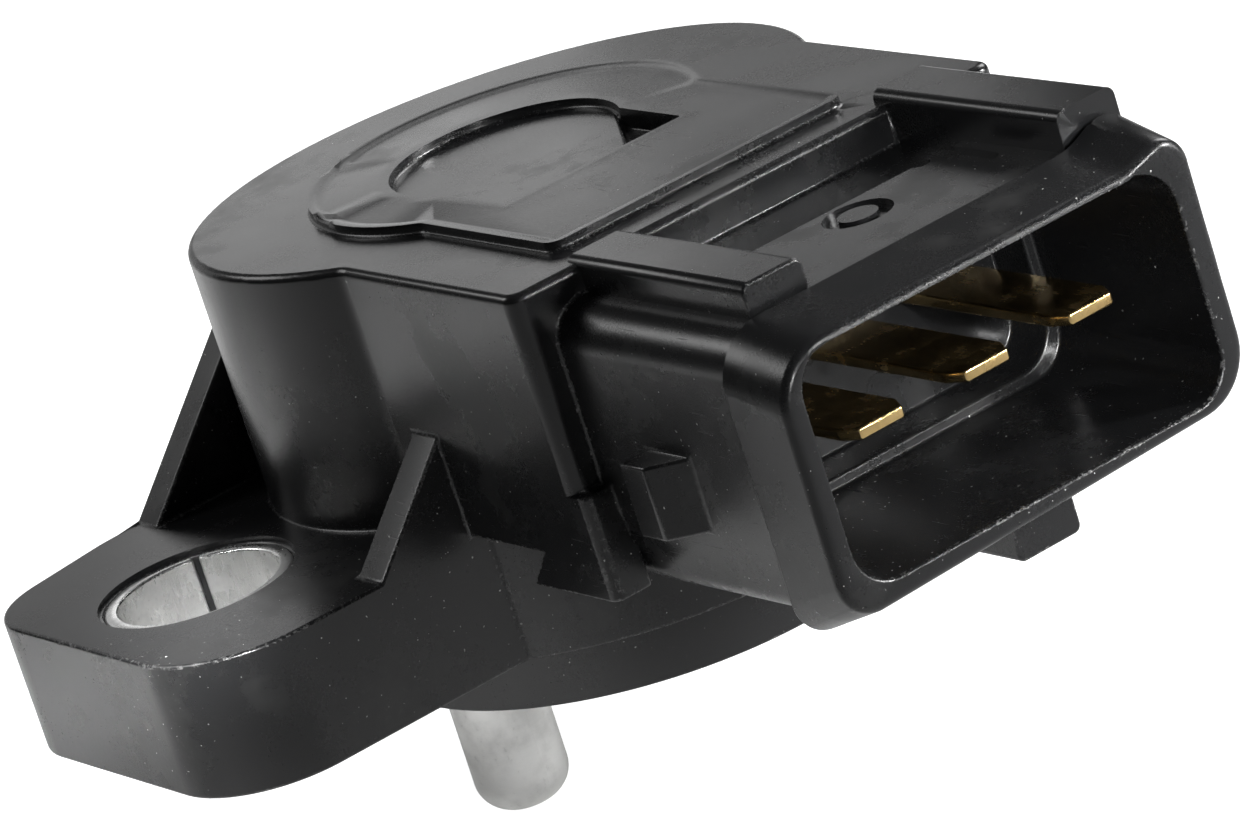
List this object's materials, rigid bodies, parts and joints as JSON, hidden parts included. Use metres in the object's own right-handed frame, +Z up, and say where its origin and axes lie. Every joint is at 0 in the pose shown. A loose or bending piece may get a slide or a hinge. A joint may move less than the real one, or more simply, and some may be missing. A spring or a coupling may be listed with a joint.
{
  "type": "throttle position sensor",
  "caption": "Rotary throttle position sensor with a round drum, gusseted mounting ears, a blade connector and a sprung drive pin under its spigot.",
  "frame": {"origin": "rotor axis at the seating face of the ears", "axes": "+Z up along the rotor axis towards the lid, +X out of the connector"},
  "size_m": [0.0427, 0.047, 0.0255],
  "materials": {
    "black_plastic": "satin moulded",
    "zinc_steel": "zinc plated",
    "terminal_brass": "stamped",
    "pin_steel": "turned",
    "disc_plastic": "moulded",
    "bearing_brass": "sintered",
    "seal_rubber": "matte",
    "carrier_plastic": "moulded",
    "board": "laminate",
    "track_ink": "printed",
    "track_silver": "printed"
  },
  "bodies": {
    "body": {"housing": "black_plastic", "base_cover": "black_plastic", "mount_bush_front": "zinc_steel", "mount_bush_rear": "zinc_steel", "terminal_1": "terminal_brass", "terminal_2": "terminal_brass", "terminal_3": "terminal_brass", "bearing_bush": "bearing_brass", "shaft_seal": "seal_rubber", "cover_seal": "seal_rubber", "thrust_washer": "zinc_steel", "return_spring": "pin_steel", "track_board": "board", "resistor_track": "track_ink", "collector_track": "track_silver", "board_rivets": "terminal_brass"},
    "rotor": {"drive_disc": "disc_plastic", "drive_pin": "pin_steel", "rotor_shaft": "pin_steel", "wiper_carrier": "carrier_plastic", "wiper": "terminal_brass", "retaining_clip": "zinc_steel"}
  },
  "joints": [
    {"name": "rotor_turn", "type": "hinge", "parent": "body", "child": "rotor", "pos_m": [0, 0, 0], "axis": [0, 0, 1], "range_deg": [0, 100], "stiffness_Nm_per_rad": 0.01, "springref_deg": -20.05, "deforming": ["return_spring"]}
  ]
}
